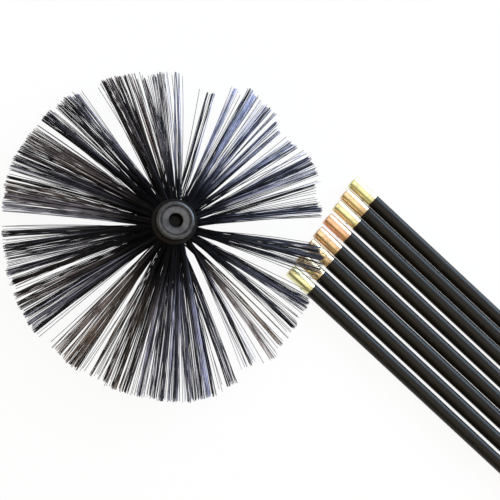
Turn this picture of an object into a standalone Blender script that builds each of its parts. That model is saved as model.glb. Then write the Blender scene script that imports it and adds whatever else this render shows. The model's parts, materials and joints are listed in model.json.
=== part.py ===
"""Chimney sweeping brush: a round bristle head on its brass socket, with a row of eight screw-together rods.

Metres, +Z up. The head stands on its socket with its nose up, and the rods lie beside it along +X.
"""

import math
import random

import bmesh
import bpy
from mathutils import Matrix, Vector

# Fits that every piece shares
SEAT_GAP = 0.0003
CUT_OVERRUN = 0.002
MERGE_DISTANCE = 0.000001
TURNED_SIDES = 32
ROD_SIDES = 16
PIN_SIDES = 8
HEXAGON = 6
FILLET_STEPS = 3
SHARP_ANGLE = math.radians(32)

# Thread shared by the head's socket, the rods' sockets and their studs
THREAD_DIAMETER = 0.0125
SOCKET_DEPTH = 0.0207
THREAD_CLEARANCE = 0.00025
THREAD_DEPTH = 0.0009
MOUTH_CHAMFER = 0.0008

# Bristle head as a whole
BRUSH_DIAMETER = 0.424
HUB_DIAMETER = 0.056

# Brass socket under the head
HEAD_FERRULE_WEB = 0.004
HEAD_FERRULE_WALL = 0.002
HEAD_FERRULE_RIM_CHAMFER = 0.0012

# Flared hub base
SPIGOT_WALL = 0.0029
BASE_NECK_STEP = 0.002
BASE_NECK_HEIGHT = 0.0015
BASE_FLARE_HEIGHT = 0.0082
BASE_BRIM_HEIGHT = 0.001
BASE_FLARE_STEPS = 4

# Bristle rings
RING_COUNT = 3
RING_THICKNESS = 0.0135
RING_EDGE_CHAMFER = 0.0008
TUFTS_IN_RING = 24
STRANDS_ROUND_TUFT = 4
STRAND_SIDES = 3
STRAND_TIP_DIAMETER = 0.0013
STRAND_SEATING = 0.003
STRAND_ROOT_SHARE = 0.29
TUFT_ROOT_SHARE = 0.27
TUFT_FAN = math.radians(2.4)
TUFT_TIP_THICKNESS = 0.0042
TIP_ROW_GAP = 0.0007
TIP_CLEARANCE_OVER_RODS = 0.0028
STRAND_ARCH = 0.006
TUFT_TURN_JITTER = math.radians(1.0)
SHORTEST_STRAND_SHARE = 0.90
ARCH_PLACE_SHARE = 0.5
BRISTLE_SEED = 11

# Nose
NOSE_LEDGE = 0.0045
NOSE_BOSS_HEIGHT = 0.010
NOSE_FLANGE_THICKNESS = 0.0023
NOSE_RIM_FILLET = 0.0035
NOSE_RIM_LAND = 0.0003
NOSE_DISH_DEPTH = 0.0008
NOSE_GROOVE_INSET = 0.001
NOSE_GROOVE_WIDTH = 0.0016
NOSE_GROOVE_DEPTH = 0.0011
NOSE_BORE_DEPTH = 0.0162
NOSE_BORE_CHAMFER = 0.0007
NOSE_STEM_WALL = 0.0032

# Tie bolt with its nut and washer
BOLT_DIAMETER = 0.008
BOLT_HEAD_FLATS = 0.013
BOLT_HEAD_HEIGHT = 0.0053
BOLT_TIP_CHAMFER = 0.001
BOLT_PROUD = 0.0008
NUT_HEIGHT = 0.0065
WASHER_THICKNESS = 0.0016
WASHER_SIDE_GAP = 0.0005
SPANNER_ROOM = 0.001

# Rods
ROD_DIAMETER = 0.018
ROD_BODY_LENGTH = 0.830
ROD_EDGE_CHAMFER = 0.0006
TENON_LENGTH = 0.0158
ROD_FERRULE_STEP = 0.0002
ROD_FERRULE_WALL = 0.0012
ROD_FERRULE_CHAMFER = 0.0008
STUD_TIP_CHAMFER = 0.0015
STUD_NECK_LENGTH = 0.0025
STUD_END_GAP = 0.0012

# Pins that hold the brass on
PIN_DIAMETER = 0.0032
PIN_PROUD = 0.00025
PIN_PLACE_SHARE = 0.63
HEAD_PIN_FROM_RIM = 0.003
HEAD_PIN_LAND = 0.0012

# The row of rods beside the head, from the far rod to the near one, as the photograph shows it
NEAR_ROD_Y = 0.0789
FAR_ROD_END_X = 0.1346
ROD_END_STAGGER = 0.0023
ROD_GAP_SHARES = (0.06, 0.06, 0.21, 0.21, 0.07, 0.21, 0.21)
ROD_ROLLS_DEGREES = (12, 20, 9, 16, 24, 14, 19, 11)


def across_corners(flats):
    """Corner radius of a hexagon from the distance across its flats."""
    return flats / (2 * math.cos(math.pi / HEXAGON))


# Radii that follow from the fits
THREAD_RADIUS = THREAD_DIAMETER / 2
HUB_RADIUS = HUB_DIAMETER / 2
HEX_CORNER = across_corners(BOLT_HEAD_FLATS)
BOLT_HOLE_RADIUS = BOLT_DIAMETER / 2 + SEAT_GAP
NUT_POCKET_CORNER = HEX_CORNER + SEAT_GAP
NOSE_BORE_RADIUS = HEX_CORNER + SPANNER_ROOM
COLUMN_RADIUS = NOSE_BORE_RADIUS + NOSE_STEM_WALL
SPIGOT_RADIUS = NUT_POCKET_CORNER + SPIGOT_WALL
HEAD_CUP_RADIUS = SPIGOT_RADIUS + SEAT_GAP
HEAD_FERRULE_RADIUS = HEAD_CUP_RADIUS + HEAD_FERRULE_WALL
PIN_RADIUS = PIN_DIAMETER / 2
PIN_HOLE_RADIUS = PIN_RADIUS + SEAT_GAP
ROD_RADIUS = ROD_DIAMETER / 2
ROD_FERRULE_RADIUS = ROD_RADIUS - ROD_FERRULE_STEP
ROD_CUP_RADIUS = ROD_FERRULE_RADIUS - ROD_FERRULE_WALL
TENON_RADIUS = ROD_CUP_RADIUS - SEAT_GAP
STUD_RADIUS = THREAD_RADIUS - THREAD_CLEARANCE
STUD_NECK_RADIUS = STUD_RADIUS - THREAD_DEPTH

# Levels up the head, each from the piece that it stands on
WEB_TOP = SOCKET_DEPTH + HEAD_FERRULE_WEB
BASE_BOTTOM = WEB_TOP + SEAT_GAP
NUT_BOTTOM = BASE_BOTTOM + BOLT_PROUD
NUT_TOP = NUT_BOTTOM + NUT_HEIGHT
NUT_POCKET_TOP = NUT_TOP + SEAT_GAP
HEAD_PIN_HEIGHT = NUT_POCKET_TOP + HEAD_PIN_LAND + PIN_HOLE_RADIUS
HEAD_FERRULE_LENGTH = HEAD_PIN_HEIGHT + HEAD_PIN_FROM_RIM
BASE_SHOULDER = HEAD_FERRULE_LENGTH + SEAT_GAP
BASE_FLARE_BOTTOM = BASE_SHOULDER + BASE_NECK_HEIGHT
BASE_TOP = BASE_FLARE_BOTTOM + BASE_FLARE_HEIGHT + BASE_BRIM_HEIGHT
RING_PITCH = RING_THICKNESS + SEAT_GAP
FIRST_RING_BOTTOM = BASE_TOP + SEAT_GAP
BASE_SPIGOT_TOP = FIRST_RING_BOTTOM + RING_THICKNESS
STEM_BOTTOM = BASE_SPIGOT_TOP + SEAT_GAP
FLANGE_BOTTOM = FIRST_RING_BOTTOM + RING_COUNT * RING_PITCH
FLANGE_TOP = FLANGE_BOTTOM + NOSE_FLANGE_THICKNESS
NOSE_TOP = FLANGE_TOP + NOSE_BOSS_HEIGHT
NOSE_FACE = NOSE_TOP - NOSE_DISH_DEPTH
NOSE_BORE_FLOOR = NOSE_FACE - NOSE_BORE_DEPTH
WASHER_BOTTOM = NOSE_BORE_FLOOR + SEAT_GAP
WASHER_TOP = WASHER_BOTTOM + WASHER_THICKNESS
BOLT_HEAD_BOTTOM = WASHER_TOP + SEAT_GAP
BOLT_HEAD_TOP = BOLT_HEAD_BOTTOM + BOLT_HEAD_HEIGHT
TUFT_ROOT_DISTANCE = HUB_RADIUS - STRAND_SEATING
TUFT_PITCH = math.tau * TUFT_ROOT_DISTANCE / TUFTS_IN_RING
TUFT_ROOT_SPREAD = TUFT_ROOT_SHARE * TUFT_PITCH
STRAND_ROOT_DIAMETER = STRAND_ROOT_SHARE * TUFT_PITCH
LOWEST_TIPS = ROD_DIAMETER + TIP_CLEARANCE_OVER_RODS + (TUFT_TIP_THICKNESS + STRAND_TIP_DIAMETER) / 2
TIP_ROW_PITCH = TUFT_TIP_THICKNESS + STRAND_TIP_DIAMETER + TIP_ROW_GAP

# Places along a rod, from the mouth of its socket
ROD_FERRULE_LENGTH = SOCKET_DEPTH + TENON_LENGTH
SHAFT_START = ROD_FERRULE_LENGTH + SEAT_GAP
SHAFT_END = SHAFT_START + ROD_BODY_LENGTH
STUD_CUP_MOUTH = SHAFT_END + SEAT_GAP
STUD_SHOULDER = STUD_CUP_MOUTH + ROD_FERRULE_LENGTH
STUD_LENGTH = SOCKET_DEPTH - STUD_END_GAP
PIN_FROM_CUP_MOUTH = PIN_PLACE_SHARE * TENON_LENGTH


def finish(name, colour, roughness, metallic):
    """A plain surface of one colour."""
    material = bpy.data.materials.new(name)
    material.use_nodes = True
    shader = material.node_tree.nodes["Principled BSDF"]
    shader.inputs["Base Color"].default_value = (*colour, 1)
    shader.inputs["Roughness"].default_value = roughness
    shader.inputs["Metallic"].default_value = metallic
    material.diffuse_color = (*colour, 1)
    return material


def add_piece(name, shape, material, parent):
    """An object from a bmesh, shaded smooth between its sharp edges."""
    bmesh.ops.recalc_face_normals(shape, faces=shape.faces)
    mesh = bpy.data.meshes.new(name)
    shape.to_mesh(mesh)
    shape.free()
    mesh.shade_smooth()
    mesh.set_sharp_from_angle(angle=SHARP_ANGLE)
    if material:
        mesh.materials.append(material)
    piece = bpy.data.objects.new(name, mesh)
    bpy.context.scene.collection.objects.link(piece)
    piece.parent = parent
    return piece


def add_empty(name, parent=None):
    """A point that a group of pieces hangs on."""
    empty = bpy.data.objects.new(name, None)
    bpy.context.scene.collection.objects.link(empty)
    empty.parent = parent
    return empty


def turned(outline, sides):
    """A shape turned about Z from the (radius, height) points of its closed outline."""
    shape = bmesh.new()
    points = [shape.verts.new((radius, 0, height)) for radius, height in outline]
    edges = [shape.edges.new(pair) for pair in zip(points, points[1:] + points[:1])]
    bmesh.ops.spin(
        shape,
        geom=points + edges,
        cent=(0, 0, 0),
        axis=(0, 0, 1),
        angle=math.tau,
        steps=sides,
        use_merge=True,
    )
    bmesh.ops.remove_doubles(shape, verts=shape.verts, dist=MERGE_DISTANCE)
    on_axis = [edge for edge in shape.edges if not edge.link_faces]
    bmesh.ops.delete(shape, geom=on_axis, context="EDGES")
    return shape


def prism(radius, bottom, top, sides, turn=0):
    """A straight bar along Z, from its corner radius."""
    shape = bmesh.new()
    bmesh.ops.create_cone(
        shape,
        cap_ends=True,
        segments=sides,
        radius1=radius,
        radius2=radius,
        depth=top - bottom,
        matrix=Matrix.Translation((0, 0, (top + bottom) / 2)) @ Matrix.Rotation(turn, 4, "Z"),
    )
    return shape


def combine(piece, other_shape, operation, name):
    """Joins another shape to a piece or cuts it out."""
    other = add_piece(name, other_shape, None, piece.parent)
    other.hide_render = True
    other.display_type = "WIRE"
    modifier = piece.modifiers.new(name, "BOOLEAN")
    modifier.operation = operation
    modifier.solver = "EXACT"
    modifier.object = other
    return other


def round_bar(radius, length):
    """A round bar centred on zero, turned so that no corner of it lies on the edge of what it crosses."""
    return prism(radius, -length / 2, length / 2, PIN_SIDES, math.pi / PIN_SIDES)


def quarter_round(radius, height, fillet, steps):
    """Points of a rounded outer edge, from the side up to the top."""
    angles = [math.pi / 2 * step / steps for step in range(steps + 1)]
    return [
        (radius - fillet + fillet * math.cos(angle), height - fillet + fillet * math.sin(angle))
        for angle in angles
    ]


def head_ferrule(parent, brass):
    """Brass socket with a threaded bore below and a cup for the hub base above."""
    outline = [
        (THREAD_RADIUS + MOUTH_CHAMFER, 0),
        (HEAD_FERRULE_RADIUS - HEAD_FERRULE_RIM_CHAMFER, 0),
        (HEAD_FERRULE_RADIUS, HEAD_FERRULE_RIM_CHAMFER),
        (HEAD_FERRULE_RADIUS, HEAD_FERRULE_LENGTH),
        (HEAD_CUP_RADIUS, HEAD_FERRULE_LENGTH),
        (HEAD_CUP_RADIUS, WEB_TOP),
        (0, WEB_TOP),
        (0, SOCKET_DEPTH),
        (THREAD_RADIUS, SOCKET_DEPTH),
        (THREAD_RADIUS, MOUTH_CHAMFER),
    ]
    return add_piece("head_ferrule", turned(outline, TURNED_SIDES), brass, parent)


def hub_base(parent, plastic):
    """Flared foot of the hub: its lower spigot fills the ferrule and its upper one centres the first ring."""
    neck = HEAD_FERRULE_RADIUS + BASE_NECK_STEP
    outline = [
        (BOLT_HOLE_RADIUS, BASE_BOTTOM),
        (SPIGOT_RADIUS, BASE_BOTTOM),
        (SPIGOT_RADIUS, BASE_SHOULDER),
        (neck, BASE_SHOULDER),
    ]
    for step in range(BASE_FLARE_STEPS + 1):
        angle = math.pi / 2 * step / BASE_FLARE_STEPS
        radius = neck + (HUB_RADIUS - neck) * (1 - math.cos(angle))
        outline.append((radius, BASE_FLARE_BOTTOM + BASE_FLARE_HEIGHT * math.sin(angle)))
    outline += [
        (HUB_RADIUS, BASE_TOP),
        (COLUMN_RADIUS, BASE_TOP),
        (COLUMN_RADIUS, BASE_SPIGOT_TOP),
        (BOLT_HOLE_RADIUS, BASE_SPIGOT_TOP),
    ]
    base = add_piece("hub_base", turned(outline, TURNED_SIDES), plastic, parent)
    pocket_shape = prism(NUT_POCKET_CORNER, BASE_BOTTOM - CUT_OVERRUN, NUT_POCKET_TOP, HEXAGON)
    combine(base, pocket_shape, "DIFFERENCE", "nut_pocket_cutter")
    return base


def head_pins(parent, ferrule, base, steel):
    """Two short pins through the ferrule wall into the hub base, each in its own drilled hole."""
    pin_outer_end = HEAD_FERRULE_RADIUS + PIN_PROUD
    hole_outer_end = pin_outer_end + CUT_OVERRUN
    hole_inner_end = BOLT_HOLE_RADIUS + HEAD_PIN_LAND
    pin_inner_end = hole_inner_end + SEAT_GAP
    for number, side in ((1, -1), (2, 1)):
        pin_shape = round_bar(PIN_RADIUS, pin_outer_end - pin_inner_end)
        pin = add_piece(f"head_pin_{number}", pin_shape, steel, parent)
        pin.rotation_euler = (math.pi / 2, 0, 0)
        pin.location = (0, side * (pin_outer_end + pin_inner_end) / 2, HEAD_PIN_HEIGHT)
        for piece in (ferrule, base):
            hole_shape = round_bar(PIN_HOLE_RADIUS, hole_outer_end - hole_inner_end)
            hole = combine(piece, hole_shape, "DIFFERENCE", f"{piece.name}_hole_{number}")
            hole.rotation_euler = pin.rotation_euler
            hole.location = (0, side * (hole_outer_end + hole_inner_end) / 2, HEAD_PIN_HEIGHT)


def strand_corners(centre, across, up, radius):
    """Corners of a strand's cross-section."""
    corners = []
    for corner in range(STRAND_SIDES):
        angle = math.tau * corner / STRAND_SIDES + math.pi / 2
        corners.append(centre + radius * (math.cos(angle) * across + math.sin(angle) * up))
    return corners


def add_strand(shape, root, tip):
    """One bristle with a slight arch, narrowing to its trimmed tip.

    Its sections all face the same way, which keeps its sides flat.
    """
    along = (tip - root).normalized()
    across = along.cross(Vector((0, 0, 1))).normalized()
    up = across.cross(along)
    middle = root.lerp(tip, ARCH_PLACE_SHARE) + Vector((0, 0, STRAND_ARCH))
    middle_diameter = (STRAND_ROOT_DIAMETER + STRAND_TIP_DIAMETER) / 2
    sections = ((root, STRAND_ROOT_DIAMETER), (middle, middle_diameter), (tip, STRAND_TIP_DIAMETER))
    rings = []
    for centre, diameter in sections:
        corners = strand_corners(centre, across, up, diameter / 2)
        rings.append([shape.verts.new(corner) for corner in corners])
    for lower, upper in zip(rings, rings[1:]):
        for side in range(STRAND_SIDES):
            following = (side + 1) % STRAND_SIDES
            shape.faces.new((lower[side], lower[following], upper[following], upper[side]))
    shape.faces.new(rings[0][::-1])
    shape.faces.new(rings[-1])


def tuft_strands(shape, turn, root_height, tip_height, chance):
    """A tuft: one strand on its axis and the rest round it, fanning out side by side to the tips."""
    places = [(0, 0)]
    for number in range(STRANDS_ROUND_TUFT):
        angle = math.tau * number / STRANDS_ROUND_TUFT
        places.append((math.cos(angle), math.sin(angle)))
    for sideways, upwards in places:
        reach = BRUSH_DIAMETER / 2 * chance.uniform(SHORTEST_STRAND_SHARE, 1)
        root = Vector((TUFT_ROOT_DISTANCE, sideways * TUFT_ROOT_SPREAD, upwards * TUFT_ROOT_SPREAD))
        root.rotate(Matrix.Rotation(turn, 3, "Z"))
        root.z += root_height
        tip = Vector((reach, 0, upwards * TUFT_TIP_THICKNESS / 2))
        tip.rotate(Matrix.Rotation(turn + sideways * TUFT_FAN, 3, "Z"))
        tip.z += tip_height
        add_strand(shape, root, tip)


def bristle_ring(name, level, parent, plastic, chance):
    """A slice of the hub with its row of tufts raked down and out."""
    bottom = FIRST_RING_BOTTOM + level * RING_PITCH
    top = bottom + RING_THICKNESS
    bore = COLUMN_RADIUS + SEAT_GAP
    outline = [
        (bore, bottom),
        (HUB_RADIUS - RING_EDGE_CHAMFER, bottom),
        (HUB_RADIUS, bottom + RING_EDGE_CHAMFER),
        (HUB_RADIUS, top - RING_EDGE_CHAMFER),
        (HUB_RADIUS - RING_EDGE_CHAMFER, top),
        (bore, top),
    ]
    ring_turn = math.tau * level / (RING_COUNT * TUFTS_IN_RING)
    slice_shape = turned(outline, TUFTS_IN_RING)
    flat_to_tuft = Matrix.Rotation(ring_turn + math.pi / TUFTS_IN_RING, 3, "Z")
    bmesh.ops.rotate(slice_shape, verts=slice_shape.verts, cent=(0, 0, 0), matrix=flat_to_tuft)
    ring = add_piece(name, slice_shape, plastic, parent)
    strands = bmesh.new()
    tip_height = LOWEST_TIPS + level * TIP_ROW_PITCH
    for number in range(TUFTS_IN_RING):
        turn = math.tau * number / TUFTS_IN_RING + ring_turn
        turn += chance.uniform(-TUFT_TURN_JITTER, TUFT_TURN_JITTER)
        tuft_strands(strands, turn, (bottom + top) / 2, tip_height, chance)
    combine(ring, strands, "UNION", f"{name}_strands")
    return ring


def hub_nose(parent, plastic):
    """Flanged nose: its stem runs down through the rings and its deep bore takes the tie bolt."""
    boss = HUB_RADIUS - NOSE_LEDGE
    dish = boss - NOSE_RIM_FILLET - NOSE_RIM_LAND
    groove_outer = dish - NOSE_GROOVE_INSET
    groove_inner = groove_outer - NOSE_GROOVE_WIDTH
    groove_floor = NOSE_FACE - NOSE_GROOVE_DEPTH
    outline = [
        (BOLT_HOLE_RADIUS, STEM_BOTTOM),
        (COLUMN_RADIUS, STEM_BOTTOM),
        (COLUMN_RADIUS, FLANGE_BOTTOM),
        (HUB_RADIUS, FLANGE_BOTTOM),
        (HUB_RADIUS, FLANGE_TOP - RING_EDGE_CHAMFER),
        (HUB_RADIUS - RING_EDGE_CHAMFER, FLANGE_TOP),
        (boss, FLANGE_TOP),
    ]
    outline += quarter_round(boss, NOSE_TOP, NOSE_RIM_FILLET, FILLET_STEPS)
    outline += [
        (dish, NOSE_TOP),
        (groove_outer, NOSE_FACE),
        (groove_outer, groove_floor),
        (groove_inner, groove_floor),
        (groove_inner, NOSE_FACE),
        (NOSE_BORE_RADIUS + NOSE_BORE_CHAMFER, NOSE_FACE),
        (NOSE_BORE_RADIUS, NOSE_FACE - NOSE_BORE_CHAMFER),
        (NOSE_BORE_RADIUS, NOSE_BORE_FLOOR),
        (BOLT_HOLE_RADIUS, NOSE_BORE_FLOOR),
    ]
    return add_piece("hub_nose", turned(outline, TURNED_SIDES), plastic, parent)


def tie_fasteners(parent, steel):
    """Bolt, washer and nut that clamp the nose, the rings and the base together."""
    shank = BOLT_DIAMETER / 2
    tip = NUT_BOTTOM - BOLT_PROUD + SEAT_GAP
    inside_head = (BOLT_HEAD_BOTTOM + BOLT_HEAD_TOP) / 2
    shank_outline = [
        (0, tip),
        (shank - BOLT_TIP_CHAMFER, tip),
        (shank, tip + BOLT_TIP_CHAMFER),
        (shank, inside_head),
        (0, inside_head),
    ]
    bolt = add_piece("tie_bolt", turned(shank_outline, ROD_SIDES), steel, parent)
    bolt_head = prism(HEX_CORNER, BOLT_HEAD_BOTTOM, BOLT_HEAD_TOP, HEXAGON)
    combine(bolt, bolt_head, "UNION", "tie_bolt_head")

    washer_radius = NOSE_BORE_RADIUS - WASHER_SIDE_GAP
    washer_outline = [
        (BOLT_HOLE_RADIUS, WASHER_BOTTOM),
        (washer_radius, WASHER_BOTTOM),
        (washer_radius, WASHER_TOP),
        (BOLT_HOLE_RADIUS, WASHER_TOP),
    ]
    add_piece("tie_washer", turned(washer_outline, ROD_SIDES), steel, parent)

    nut = add_piece("tie_nut", prism(HEX_CORNER, NUT_BOTTOM, NUT_TOP, HEXAGON), steel, parent)
    hole = prism(BOLT_HOLE_RADIUS, NUT_BOTTOM - CUT_OVERRUN, NUT_TOP + CUT_OVERRUN, ROD_SIDES)
    combine(nut, hole, "DIFFERENCE", "tie_nut_bore")


def rod_shaft(name, parent, plastic):
    """Rod body with a turned-down tenon at each end."""
    outline = [
        (0, SHAFT_START - TENON_LENGTH),
        (TENON_RADIUS, SHAFT_START - TENON_LENGTH),
        (TENON_RADIUS, SHAFT_START),
        (ROD_RADIUS - ROD_EDGE_CHAMFER, SHAFT_START),
        (ROD_RADIUS, SHAFT_START + ROD_EDGE_CHAMFER),
        (ROD_RADIUS, SHAFT_END - ROD_EDGE_CHAMFER),
        (ROD_RADIUS - ROD_EDGE_CHAMFER, SHAFT_END),
        (TENON_RADIUS, SHAFT_END),
        (TENON_RADIUS, SHAFT_END + TENON_LENGTH),
        (0, SHAFT_END + TENON_LENGTH),
    ]
    return add_piece(name, turned(outline, ROD_SIDES), plastic, parent)


def socket_ferrule(name, parent, brass):
    """Brass tube with a threaded bore at its open end and a wider cup over the rod's tenon."""
    outline = [
        (THREAD_RADIUS + MOUTH_CHAMFER, 0),
        (ROD_FERRULE_RADIUS - ROD_FERRULE_CHAMFER, 0),
        (ROD_FERRULE_RADIUS, ROD_FERRULE_CHAMFER),
        (ROD_FERRULE_RADIUS, ROD_FERRULE_LENGTH),
        (ROD_CUP_RADIUS, ROD_FERRULE_LENGTH),
        (ROD_CUP_RADIUS, SOCKET_DEPTH),
        (THREAD_RADIUS, SOCKET_DEPTH),
        (THREAD_RADIUS, MOUTH_CHAMFER),
    ]
    return add_piece(name, turned(outline, ROD_SIDES), brass, parent)


def stud_ferrule(name, parent, brass):
    """Brass cup over the rod's other tenon, ending in the threaded stud that fits the next socket."""
    cup_floor = STUD_CUP_MOUTH + TENON_LENGTH
    neck_end = STUD_SHOULDER + STUD_NECK_LENGTH
    tip = STUD_SHOULDER + STUD_LENGTH
    outline = [
        (0, cup_floor),
        (ROD_CUP_RADIUS, cup_floor),
        (ROD_CUP_RADIUS, STUD_CUP_MOUTH),
        (ROD_FERRULE_RADIUS, STUD_CUP_MOUTH),
        (ROD_FERRULE_RADIUS, STUD_SHOULDER - ROD_FERRULE_CHAMFER),
        (ROD_FERRULE_RADIUS - ROD_FERRULE_CHAMFER, STUD_SHOULDER),
        (STUD_NECK_RADIUS, STUD_SHOULDER),
        (STUD_NECK_RADIUS, neck_end),
        (STUD_RADIUS, neck_end + THREAD_DEPTH),
        (STUD_RADIUS, tip - STUD_TIP_CHAMFER),
        (STUD_RADIUS - STUD_TIP_CHAMFER, tip),
        (0, tip),
    ]
    return add_piece(name, turned(outline, ROD_SIDES), brass, parent)


def pin_through(name, place, shaft, ferrule, parent, steel):
    """A pin across the rod, with the hole for it drilled through the brass and the tenon."""
    pin_length = 2 * (ROD_FERRULE_RADIUS + PIN_PROUD)
    pin = add_piece(name, round_bar(PIN_RADIUS, pin_length), steel, parent)
    pin.rotation_euler = (math.pi / 2, 0, 0)
    pin.location = (0, 0, place)
    for piece in (shaft, ferrule):
        hole_shape = round_bar(PIN_HOLE_RADIUS, pin_length + 2 * CUT_OVERRUN)
        hole = combine(piece, hole_shape, "DIFFERENCE", f"{name}_hole_in_{piece.name}")
        hole.rotation_euler = pin.rotation_euler
        hole.location = pin.location


def rod_place(number):
    """Where the mouth of a rod's socket lies from the head's axis: rod 1 is the far one."""
    nearer_gaps = ROD_GAP_SHARES[number - 1 :]
    across = NEAR_ROD_Y + sum((1 + share) * ROD_DIAMETER for share in nearer_gaps)
    return Vector((FAR_ROD_END_X + (number - 1) * ROD_END_STAGGER, across, ROD_RADIUS))


def rod(number, parent, plastic, brass, steel):
    """One rod lying along +X with its socket towards the head."""
    axis = add_empty(f"rod_{number}", parent)
    axis.location = rod_place(number)
    roll = math.radians(ROD_ROLLS_DEGREES[number - 1])
    along_x = Matrix.Rotation(math.pi / 2, 3, "Y") @ Matrix.Rotation(roll, 3, "Z")
    axis.rotation_euler = along_x.to_euler()
    shaft = rod_shaft(f"rod_{number}_shaft", axis, plastic)
    socket = socket_ferrule(f"rod_{number}_socket_ferrule", axis, brass)
    stud = stud_ferrule(f"rod_{number}_stud_ferrule", axis, brass)
    socket_pin_place = ROD_FERRULE_LENGTH - PIN_FROM_CUP_MOUTH
    stud_pin_place = STUD_CUP_MOUTH + PIN_FROM_CUP_MOUTH
    pin_through(f"rod_{number}_socket_pin", socket_pin_place, shaft, socket, axis, steel)
    pin_through(f"rod_{number}_stud_pin", stud_pin_place, shaft, stud, axis, steel)


def centre_over_origin(whole):
    """Moves the set so that its box is centred over the origin and stands on the floor."""
    bpy.context.view_layer.update()
    graph = bpy.context.evaluated_depsgraph_get()
    corners = []
    for piece in bpy.data.objects:
        if piece.type == "MESH" and not piece.hide_render:
            box = piece.evaluated_get(graph).bound_box
            corners += [piece.matrix_world @ Vector(corner) for corner in box]
    lowest = Vector(min(corner[axis] for corner in corners) for axis in range(3))
    highest = Vector(max(corner[axis] for corner in corners) for axis in range(3))
    middle = (lowest + highest) / 2
    whole.location = (-middle.x, -middle.y, 0)


def build():
    for old in list(bpy.data.objects):
        bpy.data.objects.remove(old)
    hub_plastic = finish("hub_plastic", (0.085, 0.083, 0.088), 0.42, 0)
    bristle_plastic = finish("bristle_plastic", (0.017, 0.017, 0.022), 0.35, 0)
    rod_plastic = finish("rod_plastic", (0.022, 0.019, 0.017), 0.36, 0)
    brass = finish("brass", (0.78, 0.60, 0.27), 0.24, 1)
    steel = finish("steel", (0.36, 0.35, 0.33), 0.35, 1)

    whole = add_empty("brush_set")
    head = add_empty("brush_head", whole)
    ferrule = head_ferrule(head, brass)
    base = hub_base(head, hub_plastic)
    head_pins(head, ferrule, base, steel)
    chance = random.Random(BRISTLE_SEED)
    for level, name in enumerate(("bottom", "middle", "top")):
        bristle_ring(f"bristle_ring_{name}", level, head, bristle_plastic, chance)
    hub_nose(head, hub_plastic)
    tie_fasteners(head, steel)
    for number in range(1, len(ROD_GAP_SHARES) + 2):
        rod(number, whole, rod_plastic, brass, steel)
    centre_over_origin(whole)


build()
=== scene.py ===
"""Looks of a round chimney sweeping brush and its row of screw-together rods.

Each operator makes one kind of piece round the packed frame, and the panel lists them all.
"""

import json
import math
import random

import bmesh
import bpy
from bpy.props import FloatProperty, FloatVectorProperty, IntProperty, PointerProperty
from bpy.types import Operator, Panel, PropertyGroup
from mathutils import Matrix, Vector

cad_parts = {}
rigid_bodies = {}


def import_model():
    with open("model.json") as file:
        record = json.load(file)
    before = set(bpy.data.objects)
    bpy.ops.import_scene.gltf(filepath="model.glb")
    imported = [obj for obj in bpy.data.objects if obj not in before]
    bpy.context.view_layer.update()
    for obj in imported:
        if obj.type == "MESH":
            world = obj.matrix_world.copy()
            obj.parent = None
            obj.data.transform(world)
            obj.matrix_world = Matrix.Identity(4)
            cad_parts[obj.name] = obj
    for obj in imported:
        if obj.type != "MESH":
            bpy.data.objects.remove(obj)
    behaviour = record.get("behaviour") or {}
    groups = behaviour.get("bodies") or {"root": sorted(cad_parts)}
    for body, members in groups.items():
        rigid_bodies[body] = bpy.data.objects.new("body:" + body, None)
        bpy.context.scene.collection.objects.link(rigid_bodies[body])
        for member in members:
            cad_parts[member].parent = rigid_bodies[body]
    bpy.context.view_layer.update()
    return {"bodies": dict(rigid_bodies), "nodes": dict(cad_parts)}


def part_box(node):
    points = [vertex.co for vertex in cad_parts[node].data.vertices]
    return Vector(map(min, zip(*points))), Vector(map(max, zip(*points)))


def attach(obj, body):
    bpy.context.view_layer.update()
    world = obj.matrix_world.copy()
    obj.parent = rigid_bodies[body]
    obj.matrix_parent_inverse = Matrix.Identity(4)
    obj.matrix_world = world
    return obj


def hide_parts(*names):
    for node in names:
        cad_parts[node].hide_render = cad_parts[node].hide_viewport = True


bl_info = {
    "name": "Chimney Brush and Rods",
    "version": (1, 0, 0),
    "blender": (4, 5, 0),
    "location": "3D View > Sidebar > Chimney Brush",
    "description": "Makes the bristles, hub, brass and rods of a chimney sweeping set",
    "category": "Object",
}

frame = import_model()

RING_LEVELS = ("bottom", "middle", "top")
ROD_NUMBERS = range(1, 1 + sum(body.startswith("rod_") for body in frame["bodies"]))
HEAD_BODY = "brush_head"

# Sides of turned pieces
HUB_SIDES = 96
ROD_SIDES = 64
PIN_SIDES = 32

# Steps of the round stretches of their outlines
EDGE_STEPS = 4
BAR_STEPS = 3
BREAK_STEPS = 2
RIM_STEPS = 10
DISH_STEPS = 3
GROOVE_STEPS = 6
FLARE_STEPS = 12

# Corners closer than this are one, and edges sharper than this stay sharp
WELD = 0.000001
SMOOTH_ANGLE = math.radians(30)

# Directions, in degrees from +X towards +Y, that the bristles have fallen into, as measured in the photo
CLUMPS_DEGREES = (
    (5, 8), (14, 18), (28, 39), (50, 54), (60, 66), (67, 71), (75, 79), (83, 88), (91, 94.5),
    (98, 102), (104.5, 106.5), (112, 115), (127.5, 129), (132.5, 137), (140, 141.5), (144, 150.5),
    (151, 155.5), (164.5, 174), (176, 181.5), (185, 189), (190, 198), (199, 202), (204, 216),
    (223, 226), (228, 235), (237, 239), (241.5, 262.5), (269, 281), (284, 285), (289, 300),
    (301, 304), (306, 313), (314, 316), (319, 329), (334, 338), (343, 345.5), (351, 353.5),
    (357.5, 360),
)

# Directions whose tufts have lost strands, in the same degrees, and the share of them that is left
THIN_DEGREES = ((60, 66), (71, 90), (103, 142), (283, 286), (341, 360))
THIN_SHARE = 0.55

# Directions whose bristles get a painted warm reflection, and those that get a painted cool sheen, in the
# same degrees
BROWN_DEGREES = ((137, 155), (181, 192), (201, 213), (241, 252), (262, 298), (348, 360))
PALE_DEGREES = ((76, 131), (300, 331))

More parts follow.
